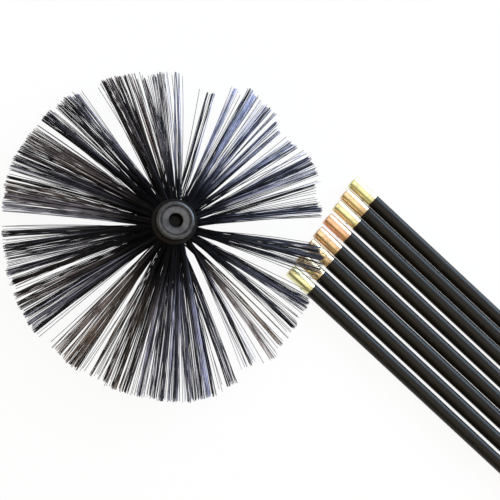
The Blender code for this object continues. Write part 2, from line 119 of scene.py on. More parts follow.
# How far the bristles reach in a direction, as a share of the reach away from the rods.
# This was measured in the photo too.
REACH_SHARES = (
    (0, 0.985), (40, 0.99), (55, 0.98), (64, 1.02), (70, 1.035), (75, 0.98), (86, 0.98), (91, 1.02),
    (97, 1.03), (101, 1.05), (106, 1.01), (112, 0.93), (124, 0.97), (131, 0.99), (137, 0.985), (141, 0.95),
    (146, 0.99), (158, 0.99), (167, 1.0), (200, 1.0), (225, 0.98), (247, 0.985), (256, 1.0), (287, 0.985),
    (298, 1.005), (310, 1.025), (321, 1.045), (327, 1.045), (332, 1.03), (338, 1.015), (344, 0.95),
    (351, 1.01), (355, 1.01), (360, 0.985),
)

# How unevenly the tufts sit, in degrees at the tips and roots, and how far the roots follow the tips
TIP_SWAY_DEGREES = 0.3
ROOT_SWAY_DEGREES = 1
ROOT_FOLLOWS_TIP = 0.35

# Ranges of one tuft: its share of the reach, its width against its room, its tone, which sets how much
# painted sheen it shows, and its brownness, which makes that painted sheen warm
TRIM_RANGE = (0.98, 1)
FAN_RANGE = (0.65, 1.05)
TONE_RANGE = (0.1, 0.48)
BROWNNESS_RANGE = (0, 0.35)

# What directions with painted cool sheen or painted warm reflection add to the tone, and the warm ones to
# the brownness
LIT_TONE = 0.25
WARM_REFLECTION_BROWNNESS = 0.6

# How far a strand follows its bundle, sideways and upwards, at its root and at its tip
ROOT_CLING = (0.55, 0.45)
TIP_CLING = (0.88, 0.5)

# The strand's own share of the uneven trim and of the sideways bend: its bundle has the rest
OWN_TRIM = 0.7
OWN_SWAY = 0.4

# Range of the arch, and the painted sheen on bundles and strands: lit ones are painted lighter
ARCH_RANGE = (0.85, 1.15)
GLOW_RANGE = (-0.05, 0.25)
DULL_STRAND = 0.25
LONE_GLOW = 0.14

# Inputs of the tufts' tree that take the bristle setting of the same name
TUFT_INPUTS = {
    "Strands": "Int", "Bundle": "Int", "Root Width": "Float", "Tip Width": "Float",
    "Tip Thickness": "Float", "Ragged": "Float", "Arch": "Float", "Bow": "Float", "Stray": "Float",
    "Diameter": "Float", "Tip Share": "Float", "Sides": "Int", "Steps": "Int",
}

# Which number after the seed each random draw of a strand takes, and how far apart two seeds lie
DRAWS = {
    "angle": 0, "distance": 1, "stray": 2, "trim": 4, "sway": 5, "arch": 6, "tone": 7, "bundle_side": 8,
    "bundle_lift": 9, "bundle_trim": 10, "bundle_sway": 11, "bundle_light": 12, "lost": 13,
}
SEED_STRIDE = 20

# Share of a thread that runs out at each end, its height there, its steps in a turn and its ridge's sides
RUN_OUT = 0.06
RUN_OUT_HEIGHT = 0.08
THREAD_STEPS = 20
RIDGE_SIDES = 4

# Hidden walls of the hub, in edge roundings, and its spigots as shares of the brass socket's radius
STEM_WALL = 4
SLICE_WALL = 4.5
NECK_WALL = 2.5
LOWER_SPIGOT = 0.84
UPPER_SPIGOT = 0.9

# How red each rod's brass is, from the farthest rod to the nearest
REDNESS_SHARES = (0.0, 0.65, 0.15, 1.0, 0.7, 0.5, 0.5, 0.05)

# How much patina each rod's brass has, in the same order; the heavy blotches of the sixth and seventh are
# partly painted shadow and reflection of the bristles over them
TARNISH_AND_SHADOW_SHARES = (0.1, 0.25, 0.15, 0.2, 0.35, 1.0, 0.9, 0.2)

# Soft lamps: place from the head's axis, width, height, power and colour
LAMPS = {
    "window": ((0.5, 2.4, 0.9), 2.0, 1.5, 88, (0.52, 0.75, 1.0)),
    "ceiling": ((0.1, -0.45, 2.5), 2.4, 2.4, 26, (1.0, 0.96, 0.90)),
}
WHITE = (1, 1, 1)

# How much of the floor's look is plain white, and how many times its distance the camera sees
FLOOR_GLOW = 0.92
SEEN_DISTANCES = 20


def middle_of(node):
    """Centre of a node's box."""
    low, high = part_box(node)
    return (low + high) / 2


def size_of(node, along="x"):
    """Size of a node's box along one axis."""
    low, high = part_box(node)
    return getattr(high, along) - getattr(low, along)


def radius_of(node, across="x"):
    """Half the size of a node's box along one axis."""
    return size_of(node, across) / 2


def axis_point():
    """Where the head's axis meets the floor."""
    centre = middle_of("hub_nose")
    return Vector((centre.x, centre.y, 0))


def count_setting(name, description, default, least=1):
    """A whole number in a group of settings."""
    return IntProperty(name=name, description=description, default=default, min=least)


def length_setting(name, description, default):
    """A length in metres in a group of settings."""
    return FloatProperty(name=name, description=description, default=default, unit="LENGTH", precision=5)


def angle_setting(name, description, degrees):
    """An angle in a group of settings."""
    return FloatProperty(name=name, description=description, default=math.radians(degrees), subtype="ANGLE")


def colour_setting(name, description, default):
    """A colour in a group of settings."""
    return FloatVectorProperty(name=name, description=description, default=default, subtype="COLOR")


class BristleSettings(PropertyGroup):
    """Bristles of the three rings."""

    tufts: count_setting("Tufts in a ring", "Tufts round each hub slice", 24, least=3)
    strands: count_setting("Strands in a tuft", "Bristles set in one hole", 34)
    bundle: count_setting("Strands in a bundle", "Bristles that cling together", 6)
    diameter: length_setting("Strand", "Diameter of one bristle", 0.00086)
    tip_share: FloatProperty(
        name="Tip share", description="Width of a tip as a share of the strand", default=0.75, min=0, max=1
    )
    root_width: length_setting("Tuft at the hub", "Width of a tuft where it leaves the hub", 0.0105)
    tip_width: length_setting("Tuft at the tips", "Width of a tuft at its tips", 0.0135)
    tip_thickness: length_setting("Tips' thickness", "Height of a tuft at its tips", 0.0052)
    ragged: length_setting("Ragged trim", "Length that the shortest strands lack", 0.007)
    arch: length_setting("Arch", "Rise of a strand's middle over a straight line", 0.006)
    bow: length_setting("Bow", "Sideways bend of the strands", 0.0025)
    stray: length_setting("Stray", "How far the loosest strands leave their tuft", 0.014)
    seating: length_setting("Seating", "Depth of the roots inside the hub", 0.002)
    tip_row_pitch: length_setting("Tip rows", "Height between the rings' rows of tips", 0.0062)
    sides: count_setting("Sides", "Faces round one strand", 4, least=3)
    steps: count_setting("Steps", "Lengths that one strand is made of", 6, least=2)
    seed: count_setting("Seed", "Seed of everything uneven", 7)


class HubSettings(PropertyGroup):
    """Plastic hub."""

    boss_diameter: length_setting("Nose", "Diameter of the nose", 0.047)
    boss_height: length_setting("Nose height", "Height of the nose over its flange", 0.010)
    rim_fillet: length_setting("Rim", "Radius of the nose's rim", 0.0035)
    bore_diameter: length_setting("Bore", "Hole that the bolt goes in by", 0.01701)
    bore_depth: length_setting("Bore depth", "Depth of the hole under the face", 0.0162)
    dish_depth: length_setting("Dish", "Depth of the face under its rim", 0.0008)
    groove_width: length_setting("Groove", "Width of the ring-shaped groove", 0.0024)
    flange_thickness: length_setting("Flange", "Thickness of the nose's flange", 0.0023)
    edge: length_setting("Edge", "Rounding of the hub's edges", 0.0008)
    parting_depth: length_setting("Parting line", "Depth of the line round each slice", 0.0004)


class BrassSettings(PropertyGroup):
    """Brass ends and their thread."""

    thread_diameter: length_setting("Thread", "Diameter of the sockets' bore", 0.0125)
    thread_pitch: length_setting("Pitch", "Half-inch coarse thread", 0.00212)
    thread_depth: length_setting("Thread depth", "Height of the thread's ridge", 0.0009)
    socket_depth: length_setting("Socket", "Depth of the threaded bore", 0.0207)
    mouth_chamfer: length_setting("Mouth", "Chamfer round the bore's mouth", 0.0008)
    rim_chamfer: length_setting("Rim", "Rounding round a brass end", 0.0007)
    stud_clearance: length_setting("Stud clearance", "Room between stud and socket", 0.00025)
    neck_length: length_setting("Neck", "Plain neck between the shoulder and the thread", 0.0025)
    stud_tip: length_setting("Stud tip", "Length of the stud's tip past its thread", 0.0015)


class RodSettings(PropertyGroup):
    """Plastic rods."""

    edge: length_setting("Edge", "Rounding at a rod's ends", 0.0006)
    seam_gap: length_setting("Seam", "Gap between a plastic piece and its neighbour", 0.0003)


class Colours(PropertyGroup):
    """Colours of the finishes."""

    bristle_dark: colour_setting("Bristle", "Darkest strands", (0.004, 0.004, 0.006))
    # Painted cool sheen, not the strands' own colour: each strand's tone mixes it in
    bristle_light: colour_setting("Pale bristle", "Palest strands", (0.64, 0.66, 0.98))
    # Painted warm reflection on the strands, as a brown tint that each strand's tone mixes in
    bristle_worn: colour_setting("Brown bristle", "Strands browned by soot", (0.42, 0.30, 0.22))
    hub: colour_setting("Hub", "Grey plastic of the hub", (0.040, 0.042, 0.051))
    rod: colour_setting("Rod", "Black plastic of the rods", (0.006, 0.004, 0.003))
    dust: colour_setting("Dust", "Dust in the rods' scuffs", (0.07, 0.065, 0.06))
    brass: colour_setting("Brass", "Turned brass", (0.87, 0.85, 0.51))
    # Brown of the film and the blotches, which on two rods also stand for painted shadow and reflection of
    # the bristles
    tarnish: colour_setting("Tarnish", "Brown film on the brass", (0.26, 0.18, 0.10))
    copper: colour_setting("Copper", "Redder brass of some ends", (0.80, 0.42, 0.28))
    steel: colour_setting("Steel", "Pins and nut", (0.36, 0.35, 0.33))
    rust: colour_setting("Rust", "Traces of rust on the steel", (0.16, 0.09, 0.05))
    blackened: colour_setting("Blackened steel", "Tie bolt and its washer", (0.004, 0.004, 0.005))
    # Colour of the painted shade under the hub's nose and in its hollows
    soot: colour_setting("Soot", "Soot in the hub's hollows", (0.006, 0.0045, 0.004))


class StageSettings(PropertyGroup):
    """Camera, floor and surroundings."""

    azimuth: angle_setting("Azimuth", "Where the camera stands", -10.55)
    elevation: angle_setting("Elevation", "Camera's angle over the floor", 73.9)
    roll: angle_setting("Roll", "Turn of the picture", 52.95)
    distance: length_setting("Distance", "From the camera to its target", 2.2)
    span: length_setting("Span", "Width that the view takes in at its target", 0.635)
    target: FloatVectorProperty(
        name="Target", description="What the camera looks at, from the head's axis", subtype="TRANSLATION",
        default=(0.0955, 0.0622, 0.009),
    )
    floor_size: length_setting("Floor", "Side of the floor", 14)
    floor: colour_setting("Floor colour", "Pale floor", (0.86, 0.86, 0.85))
    bright_side: colour_setting("Bright side", "Cool light from the side of +Y", (0.72, 0.88, 1.0))
    dim_side: colour_setting("Dim side", "Warm light from the side of -Y", (0.38, 0.36, 0.20))
    overhead: colour_setting("Overhead", "Light between the two sides", (0.76, 0.62, 0.49))


def both_ways(operation):
    """An operator's method and its reflected form: each adds a Math node."""

    def forward(value, other):
        return value.graph.maths(operation, value, other)

    def reflected(value, other):
        return value.graph.maths(operation, other, value)

    return forward, reflected


class Value:
    """A node's output that takes part in Python sums, each of which adds a Math node."""

    __add__, __radd__ = both_ways("ADD")
    __sub__, __rsub__ = both_ways("SUBTRACT")
    __mul__, __rmul__ = both_ways("MULTIPLY")
    __truediv__, __rtruediv__ = both_ways("DIVIDE")
    __pow__, __rpow__ = both_ways("POWER")

    def __init__(self, graph, socket):
        self.graph = graph
        self.socket = socket

    def also(self, name):
        """Another output of the same node."""
        return Value(self.graph, socket_named(self.socket.node.outputs, name))


def socket_named(sockets, name):
    """A socket by its number, its identifier or its name."""
    if isinstance(name, int):
        return sockets[name]
    return next(socket for socket in sockets if name in (socket.identifier, socket.name))


class Graph:
    """Adds nodes to the tree of a material, of the world or of a Geometry Nodes modifier."""

    def __init__(self, tree):
        self.tree = tree

    def node(self, kind, settings=None, values=None, output=0):
        """A new node's output, with its settings made before its sockets are fed."""
        made = self.tree.nodes.new(kind)
        for name, setting in (settings or {}).items():
            setattr(made, name, setting)
        for name, value in (values or {}).items():
            self.feed(socket_named(made.inputs, name), value)
        return Value(self, socket_named(made.outputs, output))

    def feed(self, socket, value):
        """Links a value to a socket or sets it there."""
        if isinstance(value, Value):
            self.tree.links.new(value.socket, socket)
        elif socket.type == "RGBA":
            socket.default_value = (*value, 1)
        else:
            socket.default_value = value

    def maths(self, operation, first, second=0.0):
        """A Math node's value."""
        return self.node("ShaderNodeMath", {"operation": operation}, {0: first, 1: second})

    def vector(self, operation, first, second=None, scale=None, output="Vector"):
        """A Vector Math node's value."""
        values = {0: first}
        if second is not None:
            values[1] = second
        if scale is not None:
            values["Scale"] = scale
        return self.node("ShaderNodeVectorMath", {"operation": operation}, values, output)

    def largest(self, first, *others):
        """The largest of some values."""
        for other in others:
            first = self.maths("MAXIMUM", first, other)
        return first

    def mixed(self, factor, first, second):
        """A colour between two."""
        values = {"Factor_Float": factor, "A_Color": first, "B_Color": second}
        return self.node("ShaderNodeMix", {"data_type": "RGBA"}, values, "Result_Color")

    def between(self, factor, first, second):
        """A point between two."""
        values = {"Factor_Float": factor, "A_Vector": first, "B_Vector": second}
        return self.node("ShaderNodeMix", {"data_type": "VECTOR"}, values, "Result_Vector")

    def moved(self, point, direction, distance):
        """A point moved along a direction."""
        return self.vector("ADD", point, self.vector("SCALE", direction, scale=distance))

    def spread(self, value, low, high):
        """0 below low and 1 above high, smooth between them."""
        values = {"Value": value, "From Min": low, "From Max": high}
        return self.node("ShaderNodeMapRange", {"interpolation_type": "SMOOTHSTEP"}, values)

    def ramp(self, value, start, end):
        """A number that runs from start, where the value is 0, to end, where it is 1."""
        return start + value * (end - start)


class Finish(Graph):
    """A material's graph round its Principled shader."""

    def __init__(self, name, metallic=0.0, **constants):
        self.material = bpy.data.materials.new(name)
        self.material.use_nodes = True
        super().__init__(self.material.node_tree)
        self.colours = bpy.context.scene.brush_colours
        self.shader = self.tree.nodes["Principled BSDF"]
        self.shader.inputs["Metallic"].default_value = metallic
        for socket, constant in constants.items():
            self.feed(self.shader.inputs[socket.replace("_", " ")], constant)

    def place(self, scale=(1, 1, 1), turn=(0, 0, 0)):
        """Object coordinates, scaled and turned for a pattern."""
        coordinates = self.node("ShaderNodeTexCoord", output="Object")
        values = {"Vector": coordinates, "Scale": scale, "Rotation": turn}
        return self.node("ShaderNodeMapping", values=values)

    def noise(self, scale, detail, roughness=0.5, place=None):
        """Cloudy values from 0 to 1, finer with a larger scale."""
        values = {"Vector": place or self.place(), "Scale": scale, "Detail": detail, "Roughness": roughness}
        return self.node("ShaderNodeTexNoise", values=values)

    def attribute(self, name):
        """A number that the mesh keeps on its points."""
        return self.node("ShaderNodeAttribute", {"attribute_name": name}, output="Fac")

    def worn_edges(self, low, high):
        """1 on outward edges."""
        return self.spread(self.node("ShaderNodeNewGeometry", output="Pointiness"), low, high)

    def show(self, colour, roughness, height=None, depth=0.0, coat=None):
        """Feeds the shader, with a bump of some depth from a height."""
        self.feed(self.shader.inputs["Base Color"], colour)
        self.feed(self.shader.inputs["Roughness"], roughness)
        if coat is not None:
            self.feed(self.shader.inputs["Coat Weight"], coat)
        if height is not None:
            bump = self.node("ShaderNodeBump", values={"Height": height, "Distance": depth})
            self.feed(self.shader.inputs["Normal"], bump)
        return self.material


class Growth(Graph):
    """A Geometry Nodes tree with named inputs, which ends in one plain mesh."""

    def __init__(self, name, inputs):
        super().__init__(bpy.data.node_groups.new(name, "GeometryNodeTree"))
        for label, kind in inputs.items():
            self.tree.interface.new_socket(label, in_out="INPUT", socket_type=f"NodeSocket{kind}")
        entry = self.tree.nodes.new("NodeGroupInput")
        self.inlet = {label: Value(self, entry.outputs[label]) for label in inputs}

    def store(self, geometry, name, value, kind="FLOAT"):
        """Keeps a value on each point under a name."""
        settings = {"data_type": kind, "domain": "POINT"}
        values = {"Geometry": geometry, "Name": name, "Value": value}
        return self.node("GeometryNodeStoreNamedAttribute", settings, values)

    def stored(self, name, kind="FLOAT"):
        """Reads a value that was kept on each point."""
        return self.node("GeometryNodeInputNamedAttribute", {"data_type": kind}, {"Name": name})

    def chance(self, draw, low=0.0, high=1.0, each=None):
        """A random number for each point, or for each different value of a whole number."""
        values = {"Min_001": low, "Max_001": high, "Seed": self.inlet["Seed"] + DRAWS[draw]}
        if each is not None:
            values["ID"] = each
        return self.node("FunctionNodeRandomValue", {"data_type": "FLOAT"}, values, "Value_001")

    def swept(self, curves, sides, scale):
        """A round section swept along curves, with its ends closed."""
        values = {"Resolution": sides, "Radius": 1.0}
        section = self.node("GeometryNodeCurvePrimitiveCircle", {"mode": "RADIUS"}, values)
        values = {"Curve": curves, "Profile Curve": section, "Scale": scale, "Fill Caps": True}
        return self.node("GeometryNodeCurveToMesh", values=values)

    def close(self, geometry):
        """Ends the tree with a plain mesh in the material that it was given."""
        whole = self.node("GeometryNodeRealizeInstances", values={"Geometry": geometry})
        values = {"Geometry": whole, "Material": self.inlet["Material"]}
        painted = self.node("GeometryNodeSetMaterial", values=values)
        self.tree.interface.new_socket("Geometry", in_out="OUTPUT", socket_type="NodeSocketGeometry")
        self.feed(self.tree.nodes.new("NodeGroupOutput").inputs["Geometry"], painted)
        return self.tree


def finish_of(make):
    """A finish's material, made the first time that it is asked for, beside the frame's plain ones."""
    name = f"{make.__name__}_finish"
    return bpy.data.materials.get(name) or make(name)


def shaded(colour, share):
    """A colour made darker or brighter."""
    return [share * part for part in colour]


def bristle_plastic(name):
    """Stiff black monofilament with painted light: each strand's tone mixes its dark colour towards a
    painted cool sheen, or on brown tufts towards a painted warm reflection, and painted shade darkens the
    roots.
    """
    finish = Finish(name, Specular_IOR_Level=0.05, Coat_Roughness=0.25)
    dark = finish.colours.bristle_dark
    along = finish.attribute("along")
    # Painted sheen: glinting patches along the strands, brighter towards the tips, scaled by each strand's
    # tone
    patches = finish.noise(scale=38, detail=2)
    patch_light = finish.ramp(finish.spread(patches, 0.35, 0.65), 0.55, 1.15)
    tone = finish.attribute("tone") * patch_light * finish.ramp(along, 0.6, 1.15)
    pale = finish.mixed(tone, dark, finish.colours.bristle_light)
    brown = finish.mixed(tone, dark, finish.colours.bristle_worn)
    tinted = finish.mixed(finish.attribute("brown"), pale, brown)
    # Painted shade near the roots, where the crowded strands shade each other; the coat is kept off there
    # too
    past_root_shade = finish.spread(along, 0.12, 0.5)
    painted_root_shade = (1 - past_root_shade) * 0.95
    with_painted_shade = finish.mixed(painted_root_shade, tinted, dark)
    gloss = past_root_shade * finish.ramp(tone, 0.12, 0.72)
    roughness = 0.32 + tone * 0.12 + patches * 0.08
    return finish.show(with_painted_shade, roughness, coat=gloss)


def hub_plastic(name):
    """Satin grey moulding: cloudy, ringed by its mould and rubbed on its edges, with painted shade under
    the nose, in the bore and in the groove.
    """
    hub = bpy.context.scene.brush_hub
    finish = Finish(name, Specular_IOR_Level=0.1, Coat_Roughness=0.2)
    grey = finish.colours.hub
    cloud = finish.noise(scale=130, detail=4)
    grain = finish.noise(scale=1400, detail=2)
    centred = finish.vector("SUBTRACT", finish.node("ShaderNodeTexCoord", output="Object"), axis_point())
    height = finish.node("ShaderNodeSeparateXYZ", values={"Vector": centred}, output="Z")
    radius = finish.vector("LENGTH", finish.vector("MULTIPLY", centred, (1, 1, 0)), output="Value")
    outwards = finish.node("ShaderNodeCombineXYZ", values={"X": radius})
    rings = finish.noise(scale=700, detail=2, place=outwards)
    clouded = finish.mixed(finish.spread(cloud, 0.3, 0.7), shaded(grey, 0.1), shaded(grey, 1.4))
    ringed = finish.mixed(finish.spread(rings, 0.4, 0.7) * 0.6, clouded, shaded(grey, 1.8))
    rubbed = finish.mixed(finish.worn_edges(0.51, 0.6) * 0.5, ringed, shaded(grey, 2.6))

    # Painted shade: darker under the nose, in the bore and in patches of the groove, where shade falls;
    # there the coat is also taken off and the roughness raised
    nose_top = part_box("hub_nose")[1].z
    painted_shade_full = nose_top - hub.boss_height * 0.8
    painted_shade_end = nose_top - hub.boss_height * 0.35
    under_nose = (1 - finish.spread(height, painted_shade_full, painted_shade_end)) * 0.96
    bore = hub.bore_diameter / 2
    in_bore = 1 - finish.spread(radius, bore, bore + 1.5 * hub.edge)
    off_groove = finish.maths("ABSOLUTE", radius - groove_radius())
    groove = 1 - finish.spread(off_groove, hub.groove_width * 0.3, hub.groove_width * 0.8)
    patchy = finish.spread(finish.noise(scale=55, detail=2), 0.4, 0.6)
    in_groove = groove * finish.ramp(patchy, 0.15, 0.75)
    soot = finish.largest(under_nose, in_bore, in_groove)
    with_painted_shade = finish.mixed(soot, rubbed, finish.colours.soot)
    gloss = (1 - soot) * 0.8
    roughness = 0.26 + cloud * 0.12 + grain * 0.05 + soot * 0.4
    return finish.show(with_painted_shade, roughness, cloud * 0.8 + grain * 0.2, 0.00004, gloss)


def rod_plastic(name):
    """Black extruded rod: fine lines along it, scuffs and a little dust."""
    finish = Finish(name, Specular_IOR_Level=0.22)
    black = finish.colours.rod
    drawn_out = finish.place(scale=(2.5, 260, 260))
    lines = finish.noise(scale=3, detail=3, place=drawn_out)
    cloud = finish.noise(scale=24, detail=4)
    aslant = finish.place(scale=(30, 300, 300), turn=(0, 0, 0.2))
    scuffs = finish.spread(finish.noise(scale=2.6, detail=2, place=aslant), 0.62, 0.7)
    toned = finish.mixed(lines, shaded(black, 0.7), shaded(black, 1.4))
    scuffed = finish.mixed(scuffs * 0.25, toned, finish.colours.dust)
    roughness = 0.34 + cloud * 0.12 + scuffs * 0.14
    return finish.show(scuffed, roughness, lines * 0.7 + scuffs * 0.2, 0.000012)


def turned_brass(name):
    """Bright brass, redder on some ends, with lathe lines, a thin film, blotches of patina and specks: on
    two rods the blotches are partly painted shadow and reflection of the bristles.
    """
    finish = Finish(name, metallic=1.0)
    brass = finish.colours.brass
    round_the_axis = finish.place(scale=(1, 0.02, 0.02))
    lathe = finish.noise(scale=2600, detail=2, place=round_the_axis)
    blotch_share = finish.attribute("tarnish")
    film = finish.spread(finish.noise(scale=60, detail=3, roughness=0.6), 0.45, 0.75) * 0.35
    blotches = finish.spread(finish.noise(scale=260, detail=6, roughness=0.72), 0.44, 0.66) * blotch_share
    specks = finish.spread(finish.noise(scale=420, detail=3), 0.60, 0.72) * 0.3
    alloy = finish.mixed(finish.attribute("redness"), brass, finish.colours.copper)
    toned = finish.mixed(lathe * 0.3, alloy, shaded(brass, 0.8))
    cover = finish.maths("MINIMUM", film + blotches + specks, 0.95)
    filmed = finish.mixed(cover, toned, finish.colours.tarnish)
    roughness = 0.28 + cover * 0.3 + lathe * 0.05
    return finish.show(filmed, roughness, lathe, 0.000003)


def plain_steel(name):
    """Dull steel of pins and nut, with a trace of rust."""
    finish = Finish(name, metallic=1.0)
    cloud = finish.noise(scale=600, detail=3)
    rust = finish.spread(cloud, 0.5, 0.7) * 0.5
    rusty = finish.mixed(rust, finish.colours.steel, finish.colours.rust)
    return finish.show(rusty, 0.34 + cloud * 0.2, cloud, 0.00001)


def blackened_steel(name):
    """Oil-blacked steel of the tie bolt and its washer."""
    finish = Finish(name, Specular_IOR_Level=0.08)
    black = finish.colours.blackened
    cloud = finish.noise(scale=500, detail=3)
    worn = finish.mixed(finish.worn_edges(0.51, 0.58) * 0.5, black, shaded(black, 5))
    return finish.show(worn, 0.55 + cloud * 0.2, cloud, 0.00001)


def new_object(name, data):
    """An object at the origin that shows a mesh, a lamp or a camera."""
    made = bpy.data.objects.new(name, data)
    bpy.context.scene.collection.objects.link(made)
    return made


def add_piece(name, mesh, body, node):
    """A finished piece that rides on its body in place of a node, with its place in its mesh."""
    piece = new_object(name, mesh)
    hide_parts(node)
    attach(piece, body)


def mesh_of(name, shape, material=None):
    """A mesh from a bmesh, which is freed."""
    mesh = bpy.data.meshes.new(name)
    shape.to_mesh(mesh)
    shape.free()
    if material:
        mesh.materials.append(material)
    return mesh


def turned(name, outline, sides, place, material=None):
    """A mesh turned about Z from its closed outline of (radius, height) points, and then put in place."""
    shape = bmesh.new()
    points = [shape.verts.new((radius, 0, height)) for radius, height in outline]
    edges = [shape.edges.new(pair) for pair in zip(points, points[1:] + points[:1])]
    whole_turn = {"axis": (0, 0, 1), "angle": math.tau, "steps": sides, "use_merge": True}
    bmesh.ops.spin(shape, geom=points + edges, cent=(0, 0, 0), **whole_turn)
    bmesh.ops.remove_doubles(shape, verts=shape.verts, dist=WELD)
    on_axis = [edge for edge in shape.edges if not edge.link_faces]
    bmesh.ops.delete(shape, geom=on_axis, context="EDGES")
    bmesh.ops.remove_doubles(shape, verts=shape.verts, dist=WELD)
    bmesh.ops.recalc_face_normals(shape, faces=shape.faces)
    mesh = mesh_of(name, shape, material)
    mesh.shade_smooth()
    mesh.set_sharp_from_angle(angle=SMOOTH_ANGLE)
    mesh.transform(place)
    return mesh


def arc(centre, radius, start, end, steps=EDGE_STEPS):
    """Points of a round stretch of an outline about a (radius, height), with its angles in degrees."""
    points = []
    for step in range(steps + 1):
        angle = math.radians(start + (end - start) * step / steps)
        points.append((centre[0] + radius * math.cos(angle), centre[1] + radius * math.sin(angle)))
    return points


def low_corner(radius, height, edge, steps=EDGE_STEPS):
    """The rounded outer corner at the bottom of an outline."""
    return arc((radius - edge, height + edge), edge, 270, 360, steps)


def high_corner(radius, height, edge, steps=EDGE_STEPS):
    """The rounded outer corner at the top of an outline."""
    return arc((radius - edge, height - edge), edge, 0, 90, steps)


def bar_outline(radius, start, end, edge):
    """Outline of a solid round bar with rounded ends."""
    return [
        (0, start),
        (radius - edge, start),
        *low_corner(radius, start, edge, BAR_STEPS)[1:],
        *high_corner(radius, end, edge, BAR_STEPS),
        (0, end),
    ]


def keep_on_points(mesh, name, values):
    """Stores a number or a vector on each point of a mesh."""
    if isinstance(values[0], Vector):
        attribute = mesh.attributes.new(name, "FLOAT_VECTOR", "POINT")
        attribute.data.foreach_set("vector", [part for value in values for part in value])
    else:
        attribute = mesh.attributes.new(name, "FLOAT", "POINT")
        attribute.data.foreach_set("value", values)


def tree_of(name, make):
    """A node tree by its name, made the first time that it is asked for."""
    return bpy.data.node_groups.get(name) or make(name)


def grown(name, guide, tree, settings):
    """The plain mesh that a tree grows on a guide."""
    holder = new_object(f"{name}_guide", guide)
    modifier = holder.modifiers.new("grow", "NODES")
    modifier.node_group = tree
    for item in tree.interface.items_tree:
        if item.in_out == "INPUT" and item.name in settings:
            modifier[item.identifier] = settings[item.name]
    graph = bpy.context.evaluated_depsgraph_get()
    mesh = bpy.data.meshes.new_from_object(holder.evaluated_get(graph), depsgraph=graph)
    holder.modifiers.remove(modifier)
    bpy.data.objects.remove(holder)
    bpy.data.meshes.remove(guide)
    mesh.name = name
    return mesh


